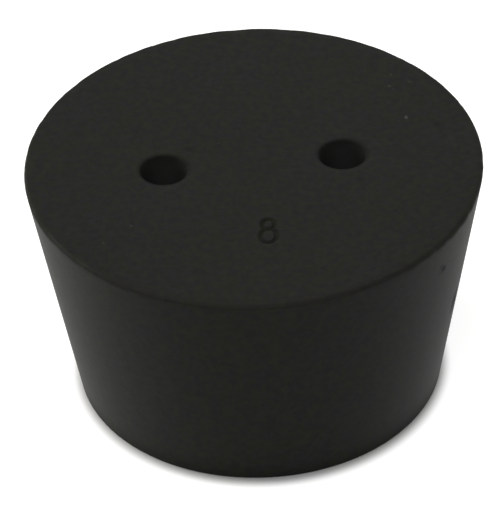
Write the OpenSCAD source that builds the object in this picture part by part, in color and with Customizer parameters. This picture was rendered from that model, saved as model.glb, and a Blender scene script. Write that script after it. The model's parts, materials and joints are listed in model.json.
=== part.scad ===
// Two-hole laboratory rubber stopper, moulded in one piece.
// It stands on its small end, with +Z up along the taper.
// The origin is the centre of the small end face.
// Lengths are in millimetres.

/* [Body] */
// Diameter of the large end, where its face and the tapered wall would meet
large_d = 41; // [40:0.5:60]
// Diameter of the small end, where its face and the tapered wall would meet
small_d = 33; // [26:0.5:40]
// Length from the small end face to the large end face
body_length = 23; // [18:0.5:45]

/* [Tube holes] */
// Diameter of each hole through the stopper
hole_d = 4.2; // [3:0.1:8]
// Distance between the axes of the two holes
hole_pitch = 16; // [11:0.5:20]

/* [Edges] */
// Radius of the edge round the large end
large_edge_r = 0.35; // [0.1:0.05:2]
// Radius of the edge round the small end
small_edge_r = 0.4; // [0.1:0.05:2]
// Radius of the edge at each mouth of a hole
mouth_r = 0.15; // [0.05:0.05:1]

/* [Hidden] */

// Facets of a full turn
$fn = 144;
// How far a cutter runs past the face it opens
overrun = 1;

large_r = large_d / 2;
small_r = small_d / 2;
hole_r = hole_d / 2;
// Lean of the wall away from the axis
taper = atan((large_r - small_r) / body_length);

// Distance from the axis to the centre of an edge round of radius r at height z:
// the circle there touches the tapered wall from inside
function edge_centre_x(r, z) = small_r + (z * sin(taper) - r) / cos(taper);

// Where that edge round runs into the tapered wall
function edge_on_wall(r, z) =
    [edge_centre_x(r, z) + r * cos(taper), z - r * sin(taper)];

// Half of the section through the axis, with a round at each outer edge
module body_section() {
    foot_z = small_edge_r;
    rim_z = body_length - large_edge_r;
    foot_x = edge_centre_x(small_edge_r, foot_z);
    rim_x = edge_centre_x(large_edge_r, rim_z);

    polygon([
        [0, 0],
        [foot_x, 0],
        edge_on_wall(small_edge_r, foot_z),
        edge_on_wall(large_edge_r, rim_z),
        [rim_x, body_length],
        [0, body_length]
    ]);
    translate([foot_x, foot_z])
        circle(small_edge_r);
    translate([rim_x, rim_z])
        circle(large_edge_r);
}

// Section of what the round mouth of a hole removes at the height of a face,
// for a hole that opens upwards
module mouth_section() {
    difference() {
        translate([0, -mouth_r])
            square([hole_r + mouth_r, mouth_r + overrun]);
        translate([hole_r + mouth_r, -mouth_r])
            circle(mouth_r);
    }
}

// Cutter for one hole: a straight bore that opens in a round mouth at each end
module tube_hole() {
    translate([0, 0, -overrun])
        cylinder(r = hole_r, h = body_length + 2 * overrun);
    translate([0, 0, body_length])
        rotate_extrude()
            mouth_section();
    rotate([180, 0, 0])
        rotate_extrude()
            mouth_section();
}

module stopper() {
    color([0.17, 0.17, 0.16])
        difference() {
            rotate_extrude()
                body_section();
            for (side = [-1, 1])
                translate([side * hole_pitch / 2, 0, 0])
                    tube_hole();
        }
}

stopper();
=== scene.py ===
# %% [markdown]
# # A rubber stopper with two tube holes
#
# A laboratory stopper closes the neck of a flask. It is one piece of black rubber, pressed in a
# heated mould: a blunt cone with two straight holes for glass tubing. Its size number is sunk in
# the large end, so that a hand can find the right one in a drawer.
#
# This lesson makes its surface as one closed mesh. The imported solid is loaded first, because it
# fixes every size and place, and the new mesh then stands in for it. Everything is in metres.

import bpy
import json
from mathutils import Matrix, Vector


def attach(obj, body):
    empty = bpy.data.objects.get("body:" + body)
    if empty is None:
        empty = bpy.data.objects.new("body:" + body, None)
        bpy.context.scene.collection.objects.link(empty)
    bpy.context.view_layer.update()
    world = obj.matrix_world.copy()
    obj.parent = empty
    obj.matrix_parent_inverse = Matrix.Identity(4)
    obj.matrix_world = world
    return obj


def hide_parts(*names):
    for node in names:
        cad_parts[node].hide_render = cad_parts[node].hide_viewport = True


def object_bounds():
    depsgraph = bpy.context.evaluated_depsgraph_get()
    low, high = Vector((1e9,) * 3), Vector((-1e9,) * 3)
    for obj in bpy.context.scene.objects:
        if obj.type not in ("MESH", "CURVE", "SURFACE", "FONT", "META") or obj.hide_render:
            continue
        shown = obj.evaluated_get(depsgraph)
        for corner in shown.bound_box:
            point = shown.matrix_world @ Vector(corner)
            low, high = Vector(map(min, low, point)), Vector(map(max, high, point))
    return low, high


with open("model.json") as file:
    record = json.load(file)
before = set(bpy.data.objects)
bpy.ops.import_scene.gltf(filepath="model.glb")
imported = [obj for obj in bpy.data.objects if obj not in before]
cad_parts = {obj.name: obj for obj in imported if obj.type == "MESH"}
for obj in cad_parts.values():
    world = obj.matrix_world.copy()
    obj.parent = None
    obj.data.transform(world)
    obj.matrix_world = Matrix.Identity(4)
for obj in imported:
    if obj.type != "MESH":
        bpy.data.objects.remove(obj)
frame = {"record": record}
cad_low, cad_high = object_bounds()
print("solid's box, in mm:", [round(1000 * v, 2) for v in (*cad_low, *cad_high)])

# %% [markdown]
# ## Sizes
#
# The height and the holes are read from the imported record, so the mesh can't drift away from the
# solid. The two end diameters and the edge radii are the mould's own, and the line printed below
# says how far the widest part of this mesh will be from the solid's.

# %% Sizes of the stopper
import json
import math

import bmesh
import bpy
from mathutils import Matrix, Vector, noise as lumps

MM = 0.001
LARGE_R = 20.5 * MM
SMALL_R = 16.5 * MM
LARGE_EDGE = 0.35 * MM
SMALL_EDGE = 0.4 * MM
MOUTH_EDGE = 0.15 * MM

height = cad_high.z
mounts = {m["name"]: m for m in frame["record"]["mounts"]}
holes = [mounts["tube_hole_left"], mounts["tube_hole_right"]]
hole_r = holes[0]["dims"]["r_mm"] * MM
taper = math.atan((LARGE_R - SMALL_R) / height)

widest = LARGE_R + LARGE_EDGE * (1 - (1 + math.sin(taper)) / math.cos(taper))
print(f"taper {math.degrees(taper):.2f} degrees a side")
print(f"widest radius is {1000 * (widest - cad_high.x):+.3f} mm from the solid's")

# %% [markdown]
# ## A lathe and a rounded edge
#
# The wall and the holes both turn about an axis, so the first tool is a lathe: it takes one half of
# a section and spins it. The second turns a sharp ring of edges into a round. A bevel is told how
# far from the sharp corner the round begins, and that follows from the radius of the round and the
# angle between the two surfaces.

# %% A lathe for sections that turn about an upright axis
TURN_STEPS = 384
SAME_PLACE = 1e-7  # in metres: corners nearer to each other than this are in one place


def lathe(bm, section, centre=(0, 0), steps=TURN_STEPS):
    """Spins (distance from the axis, height) points into a surface and returns its faces."""
    axis = Vector((centre[0], centre[1], 0))
    ring = [bm.verts.new(axis + Vector((r, 0, z))) for r, z in section]
    edges = [bm.edges.new(pair) for pair in zip(ring, ring[1:])]
    before = set(bm.faces)
    bmesh.ops.spin(
        bm,
        geom=ring + edges,
        cent=axis,
        axis=(0, 0, 1),
        angle=math.tau,
        steps=steps,
        use_merge=True,
    )
    return [f for f in bm.faces if f not in before]


def ring_edges(faces, centre, radius, z):
    """The edges of these faces that lie round the axis at one radius and height."""
    found = {e for f in faces for e in f.edges}

    def on_ring(v):
        away = math.hypot(v.co.x - centre[0], v.co.y - centre[1])
        return abs(away - radius) < SAME_PLACE and abs(v.co.z - z) < SAME_PLACE

    return [e for e in found if all(on_ring(v) for v in e.verts)]


def round_edge(bm, edges, radius, opening, segments):
    """Rounds a ring of edges whose two faces meet at an angle of `opening`."""
    bmesh.ops.bevel(
        bm,
        geom=edges,
        offset=radius / math.tan(opening / 2),
        offset_type="OFFSET",
        affect="EDGES",
        segments=segments,
        profile=0.5,
        material=-1,
        clamp_overlap=False,
    )


# %% [markdown]
# ## The outer wall
#
# The wall is a blunt cone. Its section starts and ends on the flat faces, a little inside each
# edge. The narrow flat ring that this leaves keeps the shading of the end faces level, because its
# inner corners point straight up or down. The wall is cut into rows not much higher than its faces
# are wide, so that a dent can be pressed into it later. After the spin its two sharp edges are
# bevelled, into rounds that touch the wall and the face.

# %% Spin the wall and round its two edges
FACE_RING = 1.2 * MM
WALL_ROWS = 48
EDGE_STEPS = 8

bm = bmesh.new()
wall = [(LARGE_R - (LARGE_R - SMALL_R) * i / WALL_ROWS, height * (1 - i / WALL_ROWS))
        for i in range(WALL_ROWS + 1)]
section = [(LARGE_R - FACE_RING, height), *wall, (SMALL_R - FACE_RING, 0)]
wall_faces = lathe(bm, section)

large_rim = ring_edges(wall_faces, (0, 0), LARGE_R, height)
small_rim = ring_edges(wall_faces, (0, 0), SMALL_R, 0)
round_edge(bm, large_rim, LARGE_EDGE, math.pi / 2 - taper, EDGE_STEPS)
round_edge(bm, small_rim, SMALL_EDGE, math.pi / 2 + taper, EDGE_STEPS)
print("wall:", len(bm.faces), "faces")

# %% [markdown]
# ## The tube holes
#
# Each hole is left by a steel pin in the mould, so it is straight and smooth, with only a slight
# round where it meets each face. It is a lathe form too, shaped like a cotton reel: a flat ring
# in each end face, and the bore between them.

# %% Spin the two holes
HOLE_STEPS = 96
HOLE_ROWS = 12
MOUTH_RING = 0.6 * MM
MOUTH_STEPS = 4

for hole in holes:
    x, y, _ = hole["pos_m"]
    bore = [(hole_r, height * i / HOLE_ROWS) for i in range(HOLE_ROWS + 1)]
    reel = [(hole_r + MOUTH_RING, 0), *bore, (hole_r + MOUTH_RING, height)]
    faces = lathe(bm, reel, (x, y), HOLE_STEPS)
    mouths = [e for z in (0, height) for e in ring_edges(faces, (x, y), hole_r, z)]
    round_edge(bm, mouths, MOUTH_EDGE, math.pi / 2, MOUTH_STEPS)
print("wall and holes:", len(bm.faces), "faces")

# %% [markdown]
# ## A small pit
#
# A crumb in the mould left a small pit high on the wall. A bump in the material could only shade
# it, and at the outline it would vanish, so it is a real dent. The faces about it are divided
# finely, and each face beside them, which now has extra corners along one side, is split into a
# fan from its middle. Then the corners are pressed in along the surface's own normals, most in the
# middle of the pit and not at all at its border.

# %% Press a dent into the wall
def press(moves):
    """Moves each of these corners inwards, along its normal, by its own depth."""
    for v, depth in moves:
        v.co -= v.normal * depth


def dent(bm, place, radius, depth, cuts=6):
    """Presses a small round hollow into the surface, after dividing the faces about it."""
    near = [f for f in bm.faces if (f.calc_center_median() - place).length < 2 * radius]
    edges = list({e for f in near for e in f.edges})
    bmesh.ops.subdivide_edges(bm, edges=edges, cuts=cuts, use_grid_fill=True)
    bmesh.ops.poke(bm, faces=[f for f in bm.faces if len(f.verts) > 4])
    bm.normal_update()
    within = [(v, (v.co - place).length / radius) for v in bm.verts]
    moves = [(v, depth * (1 - away * away) ** 2) for v, away in within if away < 1]
    press(moves)
    return len(moves)


PIT = Vector((15.26 * MM, -12.75 * MM, 19.25 * MM))
PIT_R = 0.50 * MM
PIT_DEPTH = 0.025 * MM

bmesh.ops.recalc_face_normals(bm, faces=bm.faces)
print("pit:", dent(bm, PIT, PIT_R, PIT_DEPTH), "corners pressed in")

# %% [markdown]
# ## Worn edges
#
# Years of being pushed into necks and round tubes have rubbed the rim and the upper mouths of the
# holes, never evenly. A soft noise gives each corner near an edge its own depth, and the same press
# moves it in, so the edges keep their rounds but stop looking as if they came from a lathe. The
# noise is above 0 in half of all places, and a bias added to it makes more than half worn.

# %% Wear the edges
RIM_WEAR = 0.06 * MM
MOUTH_WEAR = 0.03 * MM
WEAR_LENGTH = 1.4 * MM
WEAR_BIAS = 0.2
WEAR_OCTAVES = (1.0, 2.0, 3)  # how fast they fade, how much finer each is, how many there are


def wear(bm, nearness, depth):
    """Wears the surface by an uneven depth, where nearness to an edge is above 0."""
    moves = []
    for v in bm.verts:
        near = max(0, min(nearness(v.co), 1))
        if near:
            lump = lumps.fractal(v.co / WEAR_LENGTH, *WEAR_OCTAVES)
            moves.append((v, depth * near * max(0, lump + WEAR_BIAS)))
    bm.normal_update()
    press(moves)
    print(f"{len(moves)} corners, worn by up to {1000 * max(d for _, d in moves):.3f} mm")


def near_rim(co):
    """1 at the corner of the wall and the large face, and 0 beyond the reach."""
    reach = 2 * LARGE_EDGE
    return min(math.hypot(co.x, co.y) - LARGE_R, co.z - height) / reach + 1


def near_mouth(co):
    """1 at the corner of a hole and the large face, and 0 beyond the reach."""
    reach = 2.5 * MOUTH_EDGE
    away = min(math.hypot(co.x - x, co.y - y) for x, y, _ in [h["pos_m"] for h in holes])
    return 1 - max(abs(away - hole_r), height - co.z) / reach


wear(bm, near_rim, RIM_WEAR)
wear(bm, near_mouth, MOUTH_WEAR)

# %% [markdown]
# ## The size numeral
#
# The mould has a small raised figure that presses this one into the rubber. A moulded groove has
# soft shoulders and a round floor, which a cut-out outline wouldn't give. So a fine grid is laid
# in the face, and each of its corners sinks by how near it is to the middle of the stroke. An 8
# is two rings, one on the other, so the stroke's middle line is just two ellipses.

# %% Sink the figure into a fine grid
FIGURE_AT = Vector((0.28 * MM, -9.80 * MM))
FIGURE_LEAN = math.radians(6)
STROKE = 0.68 * MM
STROKE_DEPTH = 0.11 * MM
UPPER_LOOP = (0.48 * MM, 0.67 * MM)
LOWER_LOOP = (0.66 * MM, 0.93 * MM)
CELL = 0.05 * MM


def loop_distance(x, y, radii):
    """How far a point is from an ellipse about the origin, near enough for a narrow stroke."""
    a, b = radii
    reach = math.hypot(x / a, y / b)
    slope = math.hypot(x / (a * a), y / (b * b))
    return abs(reach * reach - 1) / (2 * slope) if slope else min(a, b)


def groove(distance):
    """The share of the full depth at a distance from the stroke's middle."""
    t = min(distance / (STROKE / 2), 1)
    return (1 - t * t) ** 2


half_wide = LOWER_LOOP[0] + STROKE
half_high = UPPER_LOOP[1] + LOWER_LOOP[1] + STROKE
patch_y = UPPER_LOOP[1] - LOWER_LOOP[1]
figure_place = Matrix.Translation((*FIGURE_AT, height)) @ Matrix.Rotation(-FIGURE_LEAN, 4, "Z")
grid = bmesh.ops.create_grid(
    bm, x_segments=round(2 * half_wide / CELL), y_segments=round(2 * half_high / CELL), size=1
)["verts"]
for v in grid:
    x = v.co.x * half_wide
    y = v.co.y * half_high + patch_y
    upper = loop_distance(x, y - UPPER_LOOP[1], UPPER_LOOP)
    lower = loop_distance(x, y + LOWER_LOOP[1], LOWER_LOOP)
    v.co = figure_place @ Vector((x, y, -STROKE_DEPTH * groove(min(upper, lower))))
print("figure:", len(grid), "corners")

# %% [markdown]
# ## Closing the end faces
#
# Each end face is flat, and its border is now complete: the ring inside the rim, the rings round
# the holes and, on the large end, the edge of the figure's grid. One fill joins them all. Then
# corners in one place are merged, and every face is turned outwards. A closed surface has no edge
# that isn't shared by exactly two faces, so those are counted.

# %% Fill the flat faces
for z, up in ((height, 1), (0, -1)):
    border = [
        e for e in bm.edges
        if e.is_boundary and all(abs(v.co.z - z) < SAME_PLACE for v in e.verts)
    ]
    made = bmesh.ops.triangle_fill(
        bm, edges=border, use_beauty=True, use_dissolve=False, normal=(0, 0, up)
    )
    print("end face filled with", sum(isinstance(g, bmesh.types.BMFace) for g in made["geom"]))

bmesh.ops.remove_doubles(bm, verts=bm.verts, dist=SAME_PLACE)
bmesh.ops.recalc_face_normals(bm, faces=bm.faces)
open_edges = sum(not e.is_manifold for e in bm.edges)
print("edges that aren't shared by two faces:", open_edges)
print(f"volume {bm.calc_volume(signed=True) * 1e6:.2f} cubic centimetres")

# %% [markdown]
# ## The finished piece
#
# The mesh becomes one object. Its place is in its corners, so the object itself stays at the
# origin, unturned. Smooth shading blends the facets of the rounds. The piece rides on the only body
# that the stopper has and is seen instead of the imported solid, which is still used for collisions.

# %% Make the piece
for f in bm.faces:
    f.smooth = True
mesh = bpy.data.meshes.new("moulded_rubber_stopper")
bm.to_mesh(mesh)
bm.free()
stopper = bpy.data.objects.new("moulded_rubber_stopper", mesh)
bpy.context.scene.collection.objects.link(stopper)

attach(stopper, "root")
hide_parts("stopper")
print("stopper:", len(mesh.polygons), "faces")

# %% [markdown]
# ## Shader maths
#
# A procedural finish is a small sum: a colour, plus a little noise, less what a mask hides.
# Wrapping a socket in a class lets that sum be written as Python, and each operator adds the
# Math node that it needs.

# %% A socket that can be added and multiplied
class Value:
    """A number, colour or place that varies over a surface: the output socket of a node."""

    def __init__(self, nodes, socket):
        self.nodes, self.socket = nodes, socket

    def _math(self, operation, first, second):
        return self.nodes.add("ShaderNodeMath", {"operation": operation}, {0: first, 1: second})

    def __add__(self, other):
        return self._math("ADD", self, other)

    def __radd__(self, other):
        return self._math("ADD", other, self)

    def __sub__(self, other):
        return self._math("SUBTRACT", self, other)

    def __rsub__(self, other):
        return self._math("SUBTRACT", other, self)

    def __mul__(self, other):
        return self._math("MULTIPLY", self, other)

    def __rmul__(self, other):
        return self._math("MULTIPLY", other, self)

    def smooth(self, low, high):
        """0 at low and 1 at high, with soft ends."""
        return self.nodes.add(
            "ShaderNodeMapRange", {"interpolation_type": "SMOOTHSTEP"},
            {"Value": self, "From Min": low, "From Max": high},
        )

    def output(self, name):
        """Another output of the node that this value comes from."""
        return Value(self.nodes, self.socket.node.outputs[name])


class Nodes:
    """One material's nodes. `add` makes any node: its type, its settings, its inputs."""

    def __init__(self, tree):
        self.tree = tree
        tree.nodes.clear()

    def add(self, kind, settings=None, inputs=None, output=0):
        node = self.tree.nodes.new(kind)
        for name, value in (settings or {}).items():
            setattr(node, name, value)
        for name, value in (inputs or {}).items():
            if isinstance(value, Value):
                self.tree.links.new(value.socket, node.inputs[name])
            else:
                node.inputs[name].default_value = value
        return Value(self, node.outputs[output]) if node.outputs else node


# %% [markdown]
# ## Black moulded rubber
#
# Carbon black makes this rubber nearly as dark as soot, so its look comes from small things: a
# soft sheen that grows towards the outline, a fine grain left by the blasted mould, and a cloudy
# unevenness, more olive here and more neutral there, where the compound has bloomed. A picture
# could be wrapped round it, but noises that read Object coordinates cover the whole piece without
# a seam. Those coordinates are in metres, so a scale is how many lumps fit in a metre. A noise
# stays mostly between 0.3 and 0.7, and the two numbers given to `smooth` say where in that range
# a change of colour begins and where it ends.

# %% The plain rubber: grain and clouding
rubber = bpy.data.materials.new("black_moulded_rubber")
rubber.use_nodes = True
nodes = Nodes(rubber.node_tree)
where = nodes.add("ShaderNodeTexCoord", output="Object")


def noise(lumps_per_metre, detail=2):
    """A cloudy value over the rubber."""
    return where.nodes.add("ShaderNodeTexNoise", inputs={
        "Vector": where, "Scale": lumps_per_metre, "Detail": detail, "Roughness": 0.7})


def blend(share, first, second):
    """The first colour, giving way to the second as share goes from 0 to 1."""
    return share.nodes.add("ShaderNodeMix", {"data_type": "RGBA"},
                           {"Factor": share, "A": first, "B": second}, output="Result")


OLIVE_BLACK = (0.0108, 0.0118, 0.0060, 1)
NEUTRAL_BLACK = (0.0095, 0.0094, 0.0108, 1)
BLOOM = (0.0125, 0.0127, 0.0108, 1)
# dark colour for the mottling, the rubs and the darker mouths, and for painted shade in the figure
# and the pit
GRIME_AND_PAINTED_SHADE = (0.0025, 0.0025, 0.0022, 1)
DRIFT_SHARE = 0.25
BLOOM_SHARE = 0.5
MOTTLE_SHARE = 0.5

grain = noise(lumps_per_metre=9000, detail=3)
cloud = noise(lumps_per_metre=1300, detail=6)
drift = noise(lumps_per_metre=120)
mottle = noise(lumps_per_metre=1600, detail=4)
colour = blend((cloud + DRIFT_SHARE * drift).smooth(0.53, 0.72), OLIVE_BLACK, NEUTRAL_BLACK)
colour = blend(BLOOM_SHARE * drift.smooth(0.45, 0.75), colour, BLOOM)
colour = blend(MOTTLE_SHARE * mottle.smooth(0.35, 0.65), colour, GRIME_AND_PAINTED_SHADE)
print("plain rubber:", len(rubber.node_tree.nodes), "nodes")

# %% [markdown]
# ## Pale bores and darker mouths
#
# The two bores are paler deep down. Part of that is talc, which keeps stoppers from sticking
# together, and part is painted light that lifts the shade in the bores. Their mouths are the other
# way about: darker and duller towards the edge of each hole. Both follow the shape, so their masks
# are made from two distances, the one from a hole's axis and the height. The pale colour covers the
# bore's wall and fades on the round of the mouth, and near the two ends, where the talc is wiped
# off, most of it goes.

# %% Pale bores, partly talc and partly painted light, and darker mouths
# pale colour in the bores: partly talc, partly painted light that lifts their shade
TALC_AND_PAINTED_LIGHT = (0.045, 0.045, 0.043, 1)
PALE_BORE_FADES = 0.02 * MM
PALE_BORE_ENDS = 0.12 * MM
PALE_BORE_END_REACH = 5 * MM
PALE_BORE_END_SHARE = 0.85
# darker and duller towards the edge of each hole, out to this distance
DARK_MOUTH_ENDS = 0.5 * MM
DARK_MOUTH_SHARE = 0.6


def distance(first, second):
    """How far the first point, which varies over the surface, is from the second."""
    return first.nodes.add("ShaderNodeVectorMath", {"operation": "DISTANCE"},
                           {0: first, 1: second}, output="Value")


flat = nodes.add("ShaderNodeVectorMath", {"operation": "MULTIPLY"}, {0: where, 1: (1, 1, 0)})
level = nodes.add("ShaderNodeSeparateXYZ", inputs={"Vector": where}, output="Z")
# mask of the pale bores: talc and painted light together
talc_and_painted_light = 0
# mask of the mouths, darker towards each hole's edge
dark_mouths = 0
for hole in holes:
    x, y, _ = hole["pos_m"]
    away = distance(flat, (x, y, 0))
    talc_and_painted_light = talc_and_painted_light + (1 - away.smooth(hole_r + PALE_BORE_FADES, hole_r + PALE_BORE_ENDS))
    dark_mouths = dark_mouths + (1 - away.smooth(hole_r, hole_r + DARK_MOUTH_ENDS))
near_bore_ends = level.smooth(height - PALE_BORE_END_REACH, height) + (1 - level.smooth(0, PALE_BORE_END_REACH))
colour = blend(DARK_MOUTH_SHARE * dark_mouths, colour, GRIME_AND_PAINTED_SHADE)
colour = blend(talc_and_painted_light * (1 - PALE_BORE_END_SHARE * near_bore_ends), colour, TALC_AND_PAINTED_LIGHT)
print("with talc and soil:", len(rubber.node_tree.nodes), "nodes")

# %% [markdown]
# ## A paler rim and a darkened figure
#
# The rim is where fingers grip and necks rub, so its skin is worn paler and duller in patches, and
# its paleness also lifts the shade along the rounded edge as painted light. The figure's grooves
# get painted shade, darker than their shallow depth would make them. The rim's mask takes the
# radius and the height together, and a noise makes it stronger in patches. The figure's asks only
# how far a point lies under the face, and a second distance keeps it from the holes and the rim.

# %% Pale the rim with wear and painted light, paint shade into the figure
# paler rim: partly wear, partly painted light over the rounded edge's shade
ABRADED_AND_PAINTED_LIGHT = (0.0160, 0.0158, 0.0135, 1)
RIM_PALE_BEGINS = 0.9 * MM
RIM_PALE_IS_FULL = 0.3 * MM
RIM_PALE_LEAST = 0.4
RIM_PALE_PATCHES = 1.2
RIM_PALE_SHARE = 0.5
# painted shade in the figure's grooves, from this depth under the face downwards
SHADED_BELOW = 0.04 * MM
UNSHADED_ABOVE = 0.0005 * MM
FIGURE_SHADE_SHARE = 0.35

# mask of the pale rim: wear and painted light together
worn_and_lit_rim = distance(flat, (0, 0, 0)).smooth(LARGE_R - RIM_PALE_BEGINS, LARGE_R - RIM_PALE_IS_FULL)
worn_and_lit_rim = worn_and_lit_rim * level.smooth(height - RIM_PALE_BEGINS, height - RIM_PALE_IS_FULL)
worn_and_lit_rim = worn_and_lit_rim * (RIM_PALE_LEAST + RIM_PALE_PATCHES * noise(lumps_per_metre=500).smooth(0.4, 0.65))
near_figure = 1 - distance(where, (*FIGURE_AT, height)).smooth(
    half_high + STROKE, half_high + 2 * STROKE)
shaded_figure = near_figure * (1 - level.smooth(height - SHADED_BELOW, height - UNSHADED_ABOVE))
colour = blend(RIM_PALE_SHARE * worn_and_lit_rim, colour, ABRADED_AND_PAINTED_LIGHT)
# the figure's painted shade
colour = blend(FIGURE_SHADE_SHARE * shaded_figure, colour, GRIME_AND_PAINTED_SHADE)
print("with rim and figure:", len(rubber.node_tree.nodes), "nodes")

# %% [markdown]
# ## Dust and marks
#
# Dust is scattered with Voronoi cells: each cell has one point, and a random colour that picks
# the few cells whose point becomes a speck. A few larger specks and darker marks are listed one by
# one, because they are what the eye finds first: three faint rubs on the face, a scuff on the wall
# at the right, and a darker colour in and about the pit, which is painted shade for its hollow.

# %% Dust and marks
DUST = (0.05, 0.05, 0.045, 1)
DUST_CELLS = 330  # in a metre
DUST_SPECK = (0.015, 0.035)  # in cells: where a speck begins to fade, and where it ends
DUST_CHANCE = (0.78, 0.98)  # no speck below the first, a full one above the second
DUST_SHARE = 0.35

# Each mark is a place and a radius in millimetres, and how much of its colour shows.
SPECKS = [
    ((14.3, 4.5, 23), 0.16, 1.0), ((14.3, 4.7, 23), 0.16, 1.0), ((13.4, 9.5, 23), 0.16, 0.5),
    ((13.7, 9.0, 23), 0.16, 0.2), ((13.8, 11.2, 23), 0.14, 0.35), ((15.3, 9.9, 23), 0.16, 0.3),
    ((13.0, 7.0, 23), 0.12, 0.2), ((-2.8, 3.2, 23), 0.10, 0.4), ((-1.3, 7.7, 23), 0.10, 0.3),
    ((-11.6, -7.6, 23), 0.13, 0.5), ((-14.2, -9.7, 23), 0.13, 0.5),
]
FACE_RUBS = [
    ((16.9, 3.2, 23), 0.4, 0.4), ((9.1, -3.8, 23), 0.5, 0.3), ((-5.4, 2.7, 23), 0.5, 0.3),
]
SCUFF = [((16.86, -7.30, 11.7), 0.9, 0.5), ((16.70, -7.20, 10.6), 0.9, 0.5)]
# painted shade in and about the pit, standing in for the shade of a deeper hollow
PIT_SHADE = [
    ((15.40, -12.51, 18.96), 0.35, 0.4), ((15.26, -12.75, 19.25), 0.35, 0.3),
    ((15.12, -12.99, 19.54), 0.35, 0.4), ((15.00, -13.00, 18.90), 0.35, 0.3),
]
MARK_FADES = 0.3  # in radii of the mark
MARK_ENDS = 1.3


def marks(places):
    """The strength of each of these round marks in its middle, and 0 outside them."""
    mask = 0
    for place, size, strength in places:
        away = distance(where, Vector(place) * MM)
        mask = mask + strength * (1 - away.smooth(MARK_FADES * size * MM, MARK_ENDS * size * MM))
    return mask


cells = nodes.add("ShaderNodeTexVoronoi", inputs={"Vector": where, "Scale": DUST_CELLS},
                  output="Distance")
chance = nodes.add("ShaderNodeSeparateColor", inputs={"Color": cells.output("Color")},
                   output="Red")
dust = DUST_SHARE * (1 - cells.smooth(*DUST_SPECK)) * chance.smooth(*DUST_CHANCE)
dust = dust + marks(SPECKS)
# the rubs are marks on the rubber; the pit's marks are painted shade
rub_and_shade_marks = [*FACE_RUBS, *SCUFF, *PIT_SHADE]
rubs_and_pit_shade = marks(rub_and_shade_marks)
colour = blend(rubs_and_pit_shade, colour, GRIME_AND_PAINTED_SHADE)
colour = blend(dust, colour, DUST)
print("placed by hand:", len(SPECKS), "specks and", len(rub_and_shade_marks), "rub_and_shade_marks")

# %% [markdown]
# ## One shader
#
# Everything so far changes one of three things: the colour, how dull the skin is, or how its
# finest grain bends the light. All three meet in one Principled shader. Matt rubber reflects very
# little face on, so its specular level is far below the default of 0.5. A roughness of a little
# over 0.4 spreads each reflection into a sheen, and the clouding, the wear and dirt, and the masks
# of painted light and shade add their own amounts to it. In the bump, the grain and the dust are
# heights in units of its distance, a fiftieth of a millimetre.

# %% Put the rubber together
DUST_HEIGHT = 2
SKIN_ROUGHNESS = 0.42
DULLING = [  # how much roughness each thing adds, and where
    (0.06, cloud), (0.25, talc_and_painted_light), (0.25, dark_mouths), (0.22, worn_and_lit_rim), (0.3, shaded_figure), (0.3, rubs_and_pit_shade),
]

roughness = SKIN_ROUGHNESS
for amount, mask in DULLING:
    roughness = roughness + amount * mask
bump = nodes.add("ShaderNodeBump", inputs={
    "Strength": 0.2, "Distance": 0.02 * MM, "Height": grain + DUST_HEIGHT * dust})
shader = nodes.add("ShaderNodeBsdfPrincipled", inputs={
    "Base Color": colour,
    "Roughness": roughness,
    "Normal": bump,
    "IOR": 1.5,
    "Specular IOR Level": 0.07,
})
nodes.add("ShaderNodeOutputMaterial", inputs={"Surface": shader})
stopper.data.materials.append(rubber)
print("rubber:", len(rubber.node_tree.nodes), "nodes")

# %% [markdown]
# ## The floor
#
# The stopper stands on a wide sheet of white paper. Lamps strong enough to make it white would
# be far too strong for the rubber, so the paper also glows, but only for the camera and in
# reflections. Its matt part still takes the stopper's shadow. The glow fades out round the foot,
# which paints a thin dark shadow where rubber meets paper, over the real one.

# %% Lay the paper
FLOOR_SIZE = 3.0
PAPER = (0.55, 0.55, 0.55, 1)
WHITE = (1, 1, 1, 1)
# the painted foot shadow is centred here, a little in front of the foot
FOOT = (0, -0.4 * MM, 0)  # the middle of the dark line round the foot, a little to the front
GLOW_BEGINS = SMALL_R - 0.4 * MM
GLOW_IS_FULL = SMALL_R + 1.1 * MM
GLOW_SEEN = 0.78
GLOW_REFLECTED = 0.5

floor_mesh = bpy.data.meshes.new("bench")
bm = bmesh.new()
bmesh.ops.create_grid(bm, x_segments=1, y_segments=1, size=FLOOR_SIZE / 2)
bm.to_mesh(floor_mesh)
bm.free()
floor = bpy.data.objects.new("bench", floor_mesh)
scene = bpy.context.scene
scene.collection.objects.link(floor)

paper = bpy.data.materials.new("white_paper")
paper.use_nodes = True
nodes = Nodes(paper.node_tree)
on_paper = nodes.add("ShaderNodeTexCoord", output="Object")


def seen_rays(nodes):
    """1 for rays from the camera, and 1 for those that were reflected or came through glass."""
    camera_ray = nodes.add("ShaderNodeLightPath", output="Is Camera Ray")
    glossy_ray = camera_ray.output("Is Glossy Ray")
    clear_ray = camera_ray.output("Is Transmission Ray")
    return camera_ray, glossy_ray + clear_ray


from_camera, from_gloss = seen_rays(nodes)
# no glow round the foot: a painted shadow over the real one
outside_painted_foot_shadow = distance(on_paper, FOOT).smooth(GLOW_BEGINS, GLOW_IS_FULL)
lift = (GLOW_SEEN * from_camera + GLOW_REFLECTED * from_gloss) * outside_painted_foot_shadow
matt = nodes.add("ShaderNodeBsdfDiffuse", inputs={"Color": PAPER})
glow = nodes.add("ShaderNodeEmission", inputs={"Color": WHITE, "Strength": lift})
both = nodes.add("ShaderNodeAddShader", inputs={0: matt, 1: glow})
nodes.add("ShaderNodeOutputMaterial", inputs={"Surface": both})
floor_mesh.materials.append(paper)
print("paper:", FLOOR_SIZE, "metres a side,", len(paper.node_tree.nodes), "nodes")

# %% [markdown]
# ## The surroundings
#
# Beyond the paper the room is white too, to the camera and in reflections. As a light on the
# stopper it is only a tenth of that, enough to fill the shadows, and the lamps do the rest. Light
# Path tells the two uses apart.

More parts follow.
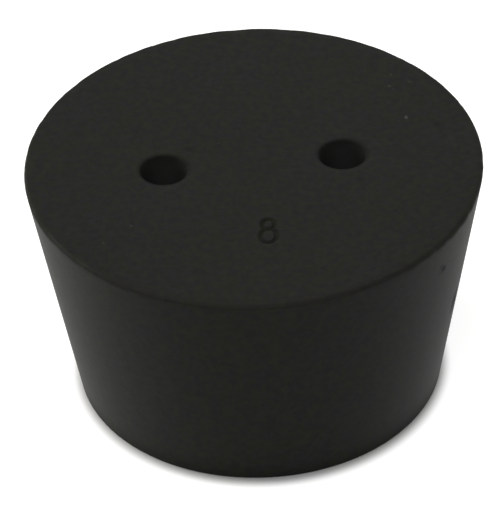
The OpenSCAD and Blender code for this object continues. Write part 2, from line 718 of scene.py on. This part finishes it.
# %% Surround it with white
FILL = 0.1

world = bpy.data.worlds.new("studio")
scene.world = world
world.use_nodes = True
nodes = Nodes(world.node_tree)
from_camera, from_gloss = seen_rays(nodes)
room = nodes.add("ShaderNodeBackground", inputs={
    "Color": WHITE, "Strength": FILL + (1 - FILL) * (from_camera + from_gloss)})
nodes.add("ShaderNodeOutputWorld", inputs={"Surface": room})
print("the room fills shadows with", FILL, "of white")

# %% [markdown]
# ## The lamps
#
# Black rubber shows its form mostly by soft reflections, so each lamp is a wide square, like a
# studio's soft box. The one on the left stands a little behind the stopper and draws the edge of
# the wall there, a weaker one answers it on the right, and two broad ones in front and overhead
# light the wall and the face.

# %% Hang the lamps
LAMP_DISTANCE = 1.2
DAYLIGHT = (1, 1, 1)
WARM = (1, 0.985, 0.9)
WARMER = (1, 0.97, 0.8)
middle = Vector((0, 0, height / 2))


def outwards(azimuth, elevation):
    """The direction from the stopper towards an azimuth and an elevation in degrees."""
    a, e = math.radians(azimuth), math.radians(elevation)
    return Vector((math.sin(a) * math.cos(e), -math.cos(a) * math.cos(e), math.sin(e)))


def soft_lamp(name, azimuth, elevation, width, power, colour=DAYLIGHT):
    """A square soft lamp that looks at the stopper. Azimuth 0 is the front, 90 the right."""
    data = bpy.data.lights.new(name, "AREA")
    data.shape = "SQUARE"
    data.size = width
    data.energy = power
    data.color = colour
    lamp = bpy.data.objects.new(name, data)
    away = outwards(azimuth, elevation)
    lamp.location = middle + away * LAMP_DISTANCE
    lamp.rotation_euler = (-away).to_track_quat("-Z", "Y").to_euler()
    lamp.visible_camera = False
    scene.collection.objects.link(lamp)
    print(f"{name}: {power} W over {width} m")


soft_lamp("left_lamp", azimuth=-115, elevation=25, width=0.8, power=11.2, colour=WARM)
soft_lamp("right_lamp", azimuth=100, elevation=25, width=0.8, power=1.9, colour=WARMER)
soft_lamp("top_lamp", azimuth=180, elevation=75, width=1.2, power=2.6)
soft_lamp("front_lamp", azimuth=-10, elevation=40, width=1.1, power=9.0)

# %% [markdown]
# ## The camera
#
# A long lens keeps the taper of the wall honest, because a close camera would add its own. The
# camera looks down from a little under 40 degrees, where the face is a broad ellipse and the
# wall is still in full view. It orbits the middle of the stopper by an azimuth, an elevation and
# a distance. Three small turns of its own then set the framing and a slight tilt.

# %% Set up the camera
CAMERA_AZIMUTH = -4.892
CAMERA_ELEVATION = 38.541
CAMERA_DISTANCE = 0.45
CAMERA_PITCH = -0.125
CAMERA_YAW = -0.077
CAMERA_ROLL = 2.059
LENS_MM = 354.9

camera_data = bpy.data.cameras.new("camera")
camera_data.lens = LENS_MM
camera_data.clip_start = 0.01
camera_data.clip_end = 50
camera = bpy.data.objects.new("camera", camera_data)
back = outwards(CAMERA_AZIMUTH, CAMERA_ELEVATION)
right = Vector((0, 0, 1)).cross(back).normalized()
turn = Matrix((right, back.cross(right), back))
for angle, axis in ((CAMERA_PITCH, "X"), (CAMERA_YAW, "Y"), (CAMERA_ROLL, "Z")):
    turn = Matrix.Rotation(math.radians(angle), 3, axis) @ turn
camera_place = Matrix.Translation(middle + back * CAMERA_DISTANCE)
camera.matrix_world = camera_place @ turn.transposed().to_4x4()
scene.collection.objects.link(camera)
scene.camera = camera
scene.view_settings.view_transform = "Standard"
print(f"camera: {LENS_MM} mm lens, {CAMERA_DISTANCE} m away")
